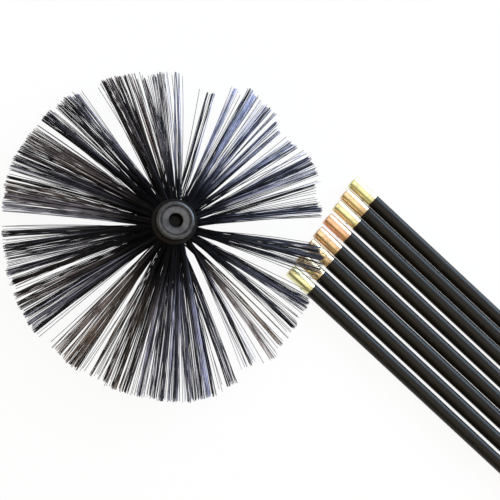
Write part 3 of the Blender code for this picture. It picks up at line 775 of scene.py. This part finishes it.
def tuft_tree(name):
    """Grows the strands of every tuft from a point at its root that knows where its tips go.

    A tuft's strands cling together in bundles, so that each tuft ends in a few ragged points.
    """
    graph = Growth(name, {"Roots": "Geometry", **TUFT_INPUTS, "Seed": "Int", "Material": "Material"})
    inlet = graph.inlet
    points = graph.store(inlet["Roots"], "tuft", graph.node("GeometryNodeInputIndex"))
    values = {"Geometry": points, "Amount": inlet["Strands"]}
    points = graph.node("GeometryNodeDuplicateElements", {"domain": "POINT"}, values)
    duplicate = points.also("Duplicate Index")
    lost = graph.maths("GREATER_THAN", graph.chance("lost"), graph.stored("fullness"))
    points = graph.node("GeometryNodeDeleteGeometry", values={"Geometry": points, "Selection": lost})
    bundle = graph.stored("tuft") * inlet["Strands"] + graph.maths("FLOOR", duplicate / inlet["Bundle"])

    root = graph.node("GeometryNodeInputPosition")
    tip = graph.stored("tip", "FLOAT_VECTOR")
    direction = graph.vector("NORMALIZE", graph.vector("SUBTRACT", tip, root))
    across = graph.vector("NORMALIZE", graph.vector("CROSS_PRODUCT", direction, (0, 0, 1)))
    upward = graph.vector("CROSS_PRODUCT", across, direction)
    angle = graph.chance("angle", 0, math.tau)
    distance = graph.chance("distance") ** 0.5
    own_place = (distance * graph.maths("COSINE", angle), distance * graph.maths("SINE", angle))
    bundle_place = (graph.chance("bundle_side", -1, 1, bundle), graph.chance("bundle_lift", -1, 1, bundle))
    # The fifth power keeps most strands in their tuft and lets a few go astray
    loose = graph.chance("stray", -1, 1)
    astray = loose * loose * loose * loose * loose

    def clung(shares):
        """Sideways and upward place of a strand in its tuft, from -1 to 1."""
        places = zip(shares, bundle_place, own_place)
        return [bundled * share + own * (1 - share) for share, bundled, own in places]

    def shifted(point, aside, above):
        """A point moved sideways and upwards in its tuft."""
        return graph.moved(graph.moved(point, across, aside), upward, above)

    half_root = inlet["Root Width"] * 0.5
    half_tip = inlet["Tip Width"] * 0.5 * graph.stored("fan")
    root_side, root_lift = clung(ROOT_CLING)
    strand_root = shifted(root, root_side * half_root, root_lift * half_root)
    tip_side, tip_lift = clung(TIP_CLING)
    aside = tip_side * half_tip + astray * inlet["Stray"]
    full_tip = shifted(tip, aside, tip_lift * inlet["Tip Thickness"] * 0.5)
    lack = graph.chance("trim") ** 2 * OWN_TRIM + graph.chance("bundle_trim", 0, 1 - OWN_TRIM, bundle)
    strand_tip = graph.moved(full_tip, direction, lack * inlet["Ragged"] * -1)
    shared_sway = 1 - OWN_SWAY
    sway = graph.chance("sway", -OWN_SWAY, OWN_SWAY)
    sway += graph.chance("bundle_sway", -shared_sway, shared_sway, bundle)
    sideways_bend = graph.vector("SCALE", across, scale=sway * inlet["Bow"])
    bend = graph.moved(sideways_bend, upward, inlet["Arch"] * graph.chance("arch", *ARCH_RANGE))
    # A strand's tone is how much painted sheen it shows: lit tufts and bundles are painted lighter, and a
    # few lone strands glint
    lit = graph.stored("tuft_tone") - graph.chance("bundle_light", 0, 1, bundle)
    own_tone = graph.chance("tone")
    lone_glow = own_tone * own_tone * own_tone * LONE_GLOW
    tone = graph.spread(lit, *GLOW_RANGE) * graph.ramp(own_tone, DULL_STRAND, 1) + lone_glow

    points = graph.store(points, "strand_root", strand_root, "FLOAT_VECTOR")
    points = graph.store(points, "strand_tip", strand_tip, "FLOAT_VECTOR")
    points = graph.store(points, "bend", bend, "FLOAT_VECTOR")
    points = graph.store(points, "tone", tone)
    values = {"Curve": graph.node("GeometryNodeCurvePrimitiveLine"), "Count": inlet["Steps"] + 1}
    line = graph.node("GeometryNodeResampleCurve", {"mode": "COUNT"}, values)
    strands = graph.node("GeometryNodeInstanceOnPoints", values={"Points": points, "Instance": line})
    strands = graph.node("GeometryNodeRealizeInstances", values={"Geometry": strands})
    along = graph.node("GeometryNodeSplineParameter", output="Factor")
    strands = graph.store(strands, "along", along)
    straight = graph.between(
        along, graph.stored("strand_root", "FLOAT_VECTOR"), graph.stored("strand_tip", "FLOAT_VECTOR")
    )
    one_in_the_middle = along * (1 - along) * 4
    bent = graph.moved(straight, graph.stored("bend", "FLOAT_VECTOR"), one_in_the_middle)
    strands = graph.node("GeometryNodeSetPosition", values={"Geometry": strands, "Position": bent})
    radius = inlet["Diameter"] * 0.5 * (1 - along * (1 - inlet["Tip Share"]))
    mesh = graph.swept(strands, inlet["Sides"], radius)
    for spare in ("strand_root", "strand_tip", "bend", "tip", "fan", "fullness", "tuft", "tuft_tone"):
        mesh = graph.node("GeometryNodeRemoveAttribute", values={"Geometry": mesh, "Name": spare})
    return graph.close(mesh)


def thread_tree(name):
    """Winds a ridge along Z for a screw thread, thinner where it runs out at its ends."""
    graph = Growth(name, {
        "Guide": "Geometry", "Radius": "Float", "Pitch": "Float", "Turns": "Float", "Depth": "Float",
        "Steps": "Int", "Material": "Material",
    })
    inlet = graph.inlet
    values = {
        "Resolution": inlet["Steps"], "Rotations": inlet["Turns"], "Start Radius": inlet["Radius"],
        "End Radius": inlet["Radius"], "Height": inlet["Pitch"] * inlet["Turns"],
    }
    helix = graph.node("GeometryNodeCurveSpiral", values=values)
    helix = graph.node("GeometryNodeSetCurveNormal", {"mode": "Z_UP"}, {"Curve": helix})
    along = graph.node("GeometryNodeSplineParameter", output="Factor")
    full = graph.spread(along, 0.0, RUN_OUT) * (1 - graph.spread(along, 1 - RUN_OUT, 1.0))
    ridge = graph.swept(helix, RIDGE_SIDES, inlet["Depth"] * graph.ramp(full, RUN_OUT_HEIGHT, 1))
    ridge = graph.node("GeometryNodeSetShadeSmooth", values={"Geometry": ridge, "Shade Smooth": False})
    return graph.close(ridge)


def thread_mesh(name, radius, length, material):
    """A thread's ridge from zero up along Z."""
    brass = bpy.context.scene.brush_brass
    settings = {
        "Radius": radius, "Pitch": brass.thread_pitch, "Turns": length / brass.thread_pitch,
        "Depth": brass.thread_depth, "Steps": THREAD_STEPS, "Material": material,
    }
    guide = bpy.data.meshes.new(f"{name}_start")
    return grown(name, guide, tree_of("Screw thread", thread_tree), settings)


def threaded(name, outline, sides, place, radius, start, length):
    """A turned brass piece with the ridge of its thread: both run up along Z before they are placed."""
    material = finish_of(turned_brass)
    shell = turned(f"{name}_shell", outline, sides, place)
    ridge = thread_mesh(f"{name}_thread", radius, length, material)
    ridge.transform(place @ Matrix.Translation((0, 0, start)))
    shape = bmesh.new()
    for part in (shell, ridge):
        shape.from_mesh(part)
        bpy.data.meshes.remove(part)
    return mesh_of(name, shape, material)


def tip_places(count):
    """Direction and room of all tufts' tips: one tuft in each clump, the rest where there is most room."""
    held = [1] * len(CLUMPS_DEGREES)
    while sum(held) < count:
        rooms = [(end - start) / tufts for (start, end), tufts in zip(CLUMPS_DEGREES, held)]
        held[rooms.index(max(rooms))] += 1
    places = []
    for (start, end), tufts in zip(CLUMPS_DEGREES, held):
        room = math.radians(end - start) / tufts
        places += [(math.radians(start) + room * (place + 0.5), room) for place in range(tufts)]
    return places


def lies_in(turn, spans):
    """1 where a direction lies in one of some spans of degrees, and 0 elsewhere."""
    return float(any(start <= math.degrees(turn) % 360 <= end for start, end in spans))


def reach_share(turn):
    """How far the bristles reach in a direction, between the shares of its neighbours."""
    degrees = math.degrees(turn) % 360
    for (start, low), (end, high) in zip(REACH_SHARES, REACH_SHARES[1:]):
        if degrees <= end:
            return low + (high - low) * (degrees - start) / (end - start)


def brush_reach():
    """Distance from the head's axis to the farthest tips on its side away from the rods."""
    return max(axis_point().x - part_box(f"bristle_ring_{name}")[0].x for name in RING_LEVELS)


def polar(distance, turn, height):
    """A point from its distance from the Z axis, its direction and its height."""
    return Vector((distance * math.cos(turn), distance * math.sin(turn), height))


def tuft_guides(level):
    """The root of each tuft in one ring, and what its strands have to know."""
    bristles = bpy.context.scene.brush_bristles
    uneven = random.Random(bristles.seed + level)
    axis = axis_point()
    reach = brush_reach()
    root_distance = hub_radius() - bristles.seating
    root_height = sum(slice_levels(level)) / 2
    tip_height = tip_row_height(level)
    total = bristles.tufts * len(RING_LEVELS)
    places = tip_places(total)
    even_turns = [math.tau * (number + 0.5) / total for number in range(total)]
    lean = sum(turn - even for (turn, room), even in zip(places, even_turns)) / total
    roots = []
    kept = {"tip": [], "fan": [], "fullness": [], "tuft_tone": [], "brown": []}
    first = len(RING_LEVELS) - 1 - level
    for number in range(first, total, len(RING_LEVELS)):
        turn, room = places[number]
        tip_turn = turn + math.radians(uneven.uniform(-TIP_SWAY_DEGREES, TIP_SWAY_DEGREES))
        even_turn = even_turns[number] + lean
        root_turn = even_turn + ROOT_FOLLOWS_TIP * (tip_turn - even_turn)
        root_turn += math.radians(uneven.uniform(-ROOT_SWAY_DEGREES, ROOT_SWAY_DEGREES))
        length = reach * reach_share(tip_turn) * uneven.uniform(*TRIM_RANGE)
        pale = lies_in(tip_turn, PALE_DEGREES)
        brown = lies_in(tip_turn, BROWN_DEGREES)
        roots.append(axis + polar(root_distance, root_turn, root_height))
        kept["tip"].append(axis + polar(length, tip_turn, tip_height))
        kept["fan"].append(uneven.uniform(*FAN_RANGE) * room * reach / bristles.tip_width)
        kept["fullness"].append(THIN_SHARE if lies_in(tip_turn, THIN_DEGREES) else 1)
        kept["tuft_tone"].append(uneven.uniform(*TONE_RANGE) + LIT_TONE * max(pale, brown))
        kept["brown"].append(uneven.uniform(*BROWNNESS_RANGE) * (1 - pale) + WARM_REFLECTION_BROWNNESS * brown)
    return roots, kept


def bristle_ring(level, name):
    """The strands of one ring, grown on the guides of its tufts."""
    bristles = bpy.context.scene.brush_bristles
    roots, kept = tuft_guides(level)
    guide = bpy.data.meshes.new(f"tufts_{name}")
    guide.from_pydata(roots, [], [])
    for label, values in kept.items():
        keep_on_points(guide, label, values)
    settings = {label: getattr(bristles, label.lower().replace(" ", "_")) for label in TUFT_INPUTS}
    settings["Seed"] = bristles.seed * SEED_STRIDE + level
    settings["Material"] = finish_of(bristle_plastic)
    mesh = grown(f"bristles_{name}", guide, tree_of("Tufts", tuft_tree), settings)
    add_piece(f"bristles_{name}", mesh, HEAD_BODY, f"bristle_ring_{name}")


def slice_levels(level):
    """Bottom and top of one hub slice: the three fill the height between the hub's base and its nose."""
    hub = bpy.context.scene.brush_hub
    gap = bpy.context.scene.brush_rods.seam_gap
    nose_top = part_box("hub_nose")[1].z
    top = nose_top - hub.boss_height - hub.flange_thickness - gap
    base_top = base_shoulder_top()
    pitch = (top - base_top) / len(RING_LEVELS)
    return base_top + gap + pitch * level, base_top + pitch * (level + 1)


def base_shoulder_top():
    """Height of the hub base's rim, under its spigot for the first slice."""
    axis = axis_point()
    past_spigot = 0.9 * radius_of("hub_base")
    points = [vertex.co - axis for vertex in frame["nodes"]["hub_base"].data.vertices]
    return max(point.z for point in points if math.hypot(point.x, point.y) > past_spigot)


def tip_row_height(level):
    """Height of one ring's row of tips."""
    bristles = bpy.context.scene.brush_bristles
    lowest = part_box("bristle_ring_bottom")[0].z
    return lowest + (bristles.tip_thickness + bristles.diameter) / 2 + level * bristles.tip_row_pitch


class BRUSH_OT_bristles(Operator):
    """Make the three rings of bristles"""

    bl_idname = "brush.bristles"
    bl_label = "Bristles"

    def execute(self, context):
        for level, name in enumerate(RING_LEVELS):
            bristle_ring(level, name)
        return {"FINISHED"}


def hub_radius():
    """Radius of the slices and of the nose's flange."""
    return radius_of("hub_nose")


def dish_radius():
    """Distance from the axis to where the rim drops to the nose's face."""
    hub = bpy.context.scene.brush_hub
    return hub.boss_diameter / 2 - hub.rim_fillet - hub.edge / 3


def groove_radius():
    """Distance from the axis to the middle of the nose's groove."""
    hub = bpy.context.scene.brush_hub
    return dish_radius() - hub.edge - hub.groove_width / 2


def nose_outline():
    """Outline of the nose with its flange, its stem and the bolt's bore."""
    hub = bpy.context.scene.brush_hub
    low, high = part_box("hub_nose")
    top = high.z
    flange_top = top - hub.boss_height
    flange_bottom = flange_top - hub.flange_thickness
    boss = hub.boss_diameter / 2
    face = top - hub.dish_depth
    bore = hub.bore_diameter / 2
    stem = bore + STEM_WALL * hub.edge
    shank = bore / 2
    floor = face - hub.bore_depth
    groove = groove_radius()
    groove_half = hub.groove_width / 2
    return [
        (shank, low.z),
        (stem, low.z),
        (stem, flange_bottom),
        (hub_radius() - hub.edge, flange_bottom),
        *high_corner(hub_radius(), flange_top, hub.edge),
        *arc((boss + hub.edge, flange_top + hub.edge), hub.edge, 270, 180),
        *high_corner(boss, top, hub.rim_fillet, RIM_STEPS),
        *arc((dish_radius(), top - hub.dish_depth / 2), hub.dish_depth / 2, 90, 180, DISH_STEPS),
        (groove + groove_half, face),
        *arc((groove, face), groove_half, 0, -180, GROOVE_STEPS)[1:-1],
        (groove - groove_half, face),
        *arc((bore + hub.edge, face - hub.edge), hub.edge, 90, 180),
        (bore, floor),
        (shank, floor),
    ]


def base_outline():
    """Outline of the flared base, from its spigot in the brass socket to its spigot in the first slice."""
    hub = bpy.context.scene.brush_hub
    low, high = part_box("hub_base")
    socket = radius_of("head_ferrule")
    neck = socket + NECK_WALL * hub.edge
    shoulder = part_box("head_ferrule")[1].z + bpy.context.scene.brush_rods.seam_gap
    rim = base_shoulder_top()
    flare_bottom = shoulder + 2 * hub.edge
    flare_top = rim - 1.2 * hub.edge
    shank = hub.bore_diameter / 4
    flare = []
    for step in range(FLARE_STEPS + 1):
        angle = math.pi / 2 * step / FLARE_STEPS
        radius = neck + (hub_radius() - neck) * (1 - math.cos(angle))
        flare.append((radius, flare_bottom + (flare_top - flare_bottom) * math.sin(angle)))
    return [
        (shank, low.z),
        (socket * LOWER_SPIGOT, low.z),
        (socket * LOWER_SPIGOT, shoulder),
        (neck, shoulder),
        *flare,
        *high_corner(hub_radius(), rim, hub.edge),
        (socket * UPPER_SPIGOT, rim),
        (socket * UPPER_SPIGOT, high.z),
        (shank, high.z),
    ]


def slice_outline(level):
    """Outline of a hub slice with rounded edges and a parting line round its middle."""
    hub = bpy.context.scene.brush_hub
    low, high = slice_levels(level)
    middle = (low + high) / 2
    radius = hub_radius()
    bore = hub.bore_diameter / 2 + SLICE_WALL * hub.edge
    return [
        (bore, low),
        *low_corner(radius, low, hub.edge),
        (radius, middle - hub.parting_depth),
        (radius - hub.parting_depth, middle),
        (radius, middle + hub.parting_depth),
        *high_corner(radius, high, hub.edge),
        (bore, high),
    ]


class BRUSH_OT_hub(Operator):
    """Make the nose, the slices and the base of the hub"""

    bl_idname = "brush.hub"
    bl_label = "Hub"

    def execute(self, context):
        plastic = finish_of(hub_plastic)
        pieces = {"nose": (nose_outline(), "hub_nose"), "base": (base_outline(), "hub_base")}
        for level, name in enumerate(RING_LEVELS):
            pieces[f"slice_{name}"] = (slice_outline(level), f"bristle_ring_{name}")
        for name, (outline, node) in pieces.items():
            mesh = turned(name, outline, HUB_SIDES, Matrix.Translation(axis_point()), plastic)
            add_piece(name, mesh, HEAD_BODY, node)
        return {"FINISHED"}


def socket_mesh(name, outer, length, sides, place):
    """A brass end with a threaded bore, whose mouth is at zero."""
    brass = bpy.context.scene.brush_brass
    bore = brass.thread_diameter / 2
    rim = brass.rim_chamfer
    mouth = brass.mouth_chamfer
    outline = [
        (0, brass.socket_depth),
        (bore, brass.socket_depth),
        (bore, mouth),
        (bore + mouth, 0),
        *low_corner(outer, 0, rim),
        *high_corner(outer, length, rim / 3, BREAK_STEPS),
        (0, length),
    ]
    thread_start = 2 * mouth
    thread_length = brass.socket_depth - 3 * mouth
    return threaded(name, outline, sides, place, bore, thread_start, thread_length)


def stud_mesh(name, outer, length, tip, sides, place):
    """A brass end with a threaded stud: its cup's mouth is at zero, and its stud ends at the tip."""
    brass = bpy.context.scene.brush_brass
    core = brass.thread_diameter / 2 - brass.stud_clearance - brass.thread_depth
    rim = brass.rim_chamfer
    thread_start = length + brass.neck_length
    thread_length = tip - thread_start - brass.stud_tip
    outline = [
        (0, 0),
        *low_corner(outer, 0, rim / 3, BREAK_STEPS),
        *high_corner(outer, length, rim),
        (core, length),
        (core, thread_start),
        (core, tip - brass.stud_tip / 2),
        (core - brass.stud_tip / 2, tip),
        (0, tip),
    ]
    return threaded(name, outline, sides, place, core, thread_start, thread_length)


def weather(mesh, number):
    """Keeps on a brass end how red its alloy is and how much patina and painted bristle shadow it shows."""
    for name, shares in (("redness", REDNESS_SHARES), ("tarnish", TARNISH_AND_SHADOW_SHARES)):
        keep_on_points(mesh, name, [shares[number % len(shares)]] * len(mesh.vertices))


def along_x(node):
    """Turns a piece made along Z so that it runs along +X from a node's near end, on the node's axis."""
    low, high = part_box(node)
    start = Vector((low.x, (low.y + high.y) / 2, (low.z + high.z) / 2))
    return Matrix.Translation(start) @ Matrix.Rotation(math.pi / 2, 4, "Y")


class BRUSH_OT_head_socket(Operator):
    """Make the brass socket under the head"""

    bl_idname = "brush.head_socket"
    bl_label = "Head socket"

    def execute(self, context):
        node = "head_ferrule"
        place = Matrix.Translation(axis_point())
        mesh = socket_mesh("head_socket", radius_of(node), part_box(node)[1].z, HUB_SIDES, place)
        add_piece("head_socket", mesh, HEAD_BODY, node)
        return {"FINISHED"}


class BRUSH_OT_rods(Operator):
    """Make the plastic rods"""

    bl_idname = "brush.rods"
    bl_label = "Rods"

    def execute(self, context):
        rods = context.scene.brush_rods
        plastic = finish_of(rod_plastic)
        for number in ROD_NUMBERS:
            node = f"rod_{number}_shaft"
            near_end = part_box(node)[0].x
            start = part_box(f"rod_{number}_socket_ferrule")[1].x + rods.seam_gap - near_end
            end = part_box(f"rod_{number}_stud_ferrule")[0].x - rods.seam_gap - near_end
            outline = bar_outline(radius_of(node, "z"), start, end, rods.edge)
            mesh = turned(f"rod_{number}_body", outline, ROD_SIDES, along_x(node), plastic)
            add_piece(f"rod_{number}_body", mesh, f"rod_{number}", node)
        return {"FINISHED"}


class BRUSH_OT_rod_ends(Operator):
    """Make the rods' brass sockets and studs"""

    bl_idname = "brush.rod_ends"
    bl_label = "Rod ends"

    def execute(self, context):
        for number in ROD_NUMBERS:
            rod = f"rod_{number}"
            node = f"{rod}_socket_ferrule"
            outer = radius_of(node, "z")
            length = size_of(node)
            mesh = socket_mesh(f"{rod}_socket", outer, length, ROD_SIDES, along_x(node))
            weather(mesh, number - 1)
            add_piece(f"{rod}_socket", mesh, rod, node)

            node = f"{rod}_stud_ferrule"
            mesh = stud_mesh(f"{rod}_stud", outer, length, size_of(node), ROD_SIDES, along_x(node))
            weather(mesh, number)
            add_piece(f"{rod}_stud", mesh, rod, node)
        return {"FINISHED"}


def pin_mesh(name, node, material):
    """A round pin with rounded ends along the axis of its node."""
    centre = middle_of(node)
    points = [vertex.co - centre for vertex in frame["nodes"][node].data.vertices]
    near_end = [point for point in points if point.y < 0]
    axis = sum(near_end, Vector()).normalized()
    half = max(point.dot(axis) for point in points)
    radius = max((point - axis * point.dot(axis)).length for point in points)
    crown = radius / 4
    place = Matrix.Translation(centre) @ axis.to_track_quat("Z", "Y").to_matrix().to_4x4()
    return turned(name, bar_outline(radius, -half, half, crown), PIN_SIDES, place, material)


class BRUSH_OT_pins(Operator):
    """Make the pins that hold the brass on"""

    bl_idname = "brush.pins"
    bl_label = "Pins"

    def execute(self, context):
        steel = finish_of(plain_steel)
        nodes = {"head_pin_1": HEAD_BODY, "head_pin_2": HEAD_BODY}
        for number in ROD_NUMBERS:
            for end in ("socket", "stud"):
                nodes[f"rod_{number}_{end}_pin"] = f"rod_{number}"
        for node, body in nodes.items():
            mesh = pin_mesh(f"{node}_round", node, steel)
            add_piece(f"{node}_round", mesh, body, node)
        return {"FINISHED"}


class BRUSH_OT_fasteners(Operator):
    """Finish the bolt, washer and nut that clamp the hub"""

    bl_idname = "brush.fasteners"
    bl_label = "Fasteners"

    def execute(self, context):
        black = finish_of(blackened_steel)
        steel = finish_of(plain_steel)
        for node, material in (("tie_bolt", black), ("tie_washer", black), ("tie_nut", steel)):
            slots = frame["nodes"][node].data.materials
            slots.clear()
            slots.append(material)
        return {"FINISHED"}


def camera_place():
    """Where the camera stands, looking at its target, with its picture turned by the roll."""
    stage = bpy.context.scene.brush_stage
    level = math.cos(stage.elevation)
    back = Vector(
        (math.sin(stage.azimuth) * level, -math.cos(stage.azimuth) * level, math.sin(stage.elevation))
    )
    right = Vector((math.cos(stage.azimuth), math.sin(stage.azimuth), 0))
    up = back.cross(right)
    turn = Matrix.Rotation(stage.roll, 3, back)
    place = Matrix((turn @ right, turn @ up, back)).transposed().to_4x4()
    place.translation = axis_point() + Vector(stage.target) + back * stage.distance
    return place


def add_camera():
    """The camera at the photograph's angle."""
    stage = bpy.context.scene.brush_stage
    data = bpy.data.cameras.new("camera")
    data.lens = data.sensor_width * stage.distance / stage.span
    data.clip_end = stage.distance * SEEN_DISTANCES
    camera = new_object("camera", data)
    camera.matrix_world = camera_place()
    bpy.context.scene.camera = camera


def add_lamp(name, offset, width, height, power, colour):
    """A soft oblong lamp at an offset from the head's axis, which it faces."""
    data = bpy.data.lights.new(name, "AREA")
    data.shape = "RECTANGLE"
    data.size = width
    data.size_y = height
    data.energy = power
    data.color = colour
    lamp = new_object(name, data)
    lamp.location = axis_point() + Vector(offset)
    lamp.rotation_euler = Vector(offset).to_track_quat("Z", "Y").to_euler()


def floor_white(name):
    """Pale floor that the camera and the gloss see as white, with the object's shadow left on it."""
    finish = Finish(name, Roughness=0.8, Base_Color=bpy.context.scene.brush_stage.floor)
    ray = finish.node("ShaderNodeLightPath", output="Is Camera Ray")
    seen = finish.largest(ray, ray.also("Is Glossy Ray"), ray.also("Is Transmission Ray"))
    values = {"Color": WHITE, "Strength": 1.0}
    glow = finish.node("ShaderNodeEmission", values=values, output="Emission")
    values = {0: seen * FLOOR_GLOW, 1: Value(finish, finish.shader.outputs[0]), 2: glow}
    surface = finish.node("ShaderNodeMixShader", values=values)
    finish.feed(finish.tree.nodes["Material Output"].inputs["Surface"], surface)
    return finish.material


def add_floor():
    """The floor under the set."""
    size = bpy.context.scene.brush_stage.floor_size
    shape = bmesh.new()
    bmesh.ops.create_grid(shape, x_segments=1, y_segments=1, size=size / 2)
    new_object("floor", mesh_of("floor", shape, floor_white("floor_white")))


def set_world():
    """Surroundings that are bright and cool on one side and dim and warm on the other.

    The camera sees them white, and so do gloss and glass on the bright side.
    """
    stage = bpy.context.scene.brush_stage
    world = bpy.data.worlds.new("studio")
    world.use_nodes = True
    bpy.context.scene.world = world
    graph = Graph(world.node_tree)
    direction = graph.node("ShaderNodeTexCoord", output="Generated")
    sideways = graph.node("ShaderNodeSeparateXYZ", values={"Vector": direction}, output="Y")
    bright = graph.spread(sideways, 0.1, 0.9)
    overhead = graph.spread(sideways, -0.5, 0.35)
    ray = graph.node("ShaderNodeLightPath", output="Is Camera Ray")
    glossy = graph.largest(ray.also("Is Glossy Ray"), ray.also("Is Transmission Ray"))
    seen = graph.largest(ray, glossy * bright)
    room = graph.mixed(bright, graph.mixed(overhead, stage.dim_side, stage.overhead), stage.bright_side)
    background = world.node_tree.nodes["Background"]
    graph.feed(background.inputs["Color"], graph.mixed(seen, room, WHITE))
    graph.feed(background.inputs["Strength"], 1.0)


class BRUSH_OT_stage(Operator):
    """Make the floor, the lamps, the surroundings and the camera"""

    bl_idname = "brush.stage"
    bl_label = "Stage"

    def execute(self, context):
        context.scene.view_settings.view_transform = "Standard"
        add_camera()
        add_floor()
        set_world()
        for name, lamp in LAMPS.items():
            add_lamp(name, *lamp)
        return {"FINISHED"}


SETTINGS = {
    "brush_stage": StageSettings,
    "brush_colours": Colours,
    "brush_bristles": BristleSettings,
    "brush_hub": HubSettings,
    "brush_brass": BrassSettings,
    "brush_rods": RodSettings,
}
OPERATORS = (
    BRUSH_OT_stage,
    BRUSH_OT_bristles,
    BRUSH_OT_hub,
    BRUSH_OT_head_socket,
    BRUSH_OT_rods,
    BRUSH_OT_rod_ends,
    BRUSH_OT_pins,
    BRUSH_OT_fasteners,
)


class BRUSH_PT_panel(Panel):
    """Sizes and colours, and a button for each kind of piece"""

    bl_idname = "BRUSH_PT_panel"
    bl_label = "Chimney Brush"
    bl_space_type = "VIEW_3D"
    bl_region_type = "UI"
    bl_category = "Chimney Brush"

    def draw(self, context):
        for name, group in SETTINGS.items():
            box = self.layout.box()
            box.label(text=group.__doc__)
            for setting in group.__annotations__:
                box.prop(getattr(context.scene, name), setting)
        for operator in OPERATORS:
            self.layout.operator(operator.bl_idname)


def register():
    for name, group in SETTINGS.items():
        bpy.utils.register_class(group)
        setattr(bpy.types.Scene, name, PointerProperty(type=group))
    for operator in OPERATORS:
        bpy.utils.register_class(operator)
    bpy.utils.register_class(BRUSH_PT_panel)


def unregister():
    bpy.utils.unregister_class(BRUSH_PT_panel)
    for operator in reversed(OPERATORS):
        bpy.utils.unregister_class(operator)
    for name, group in reversed(SETTINGS.items()):
        delattr(bpy.types.Scene, name)
        bpy.utils.unregister_class(group)


def main():
    """Makes every piece in order."""
    register()
    for operator in OPERATORS:
        group, name = operator.bl_idname.split(".")
        getattr(getattr(bpy.ops, group), name)()


if __name__ == "__main__":
    main()
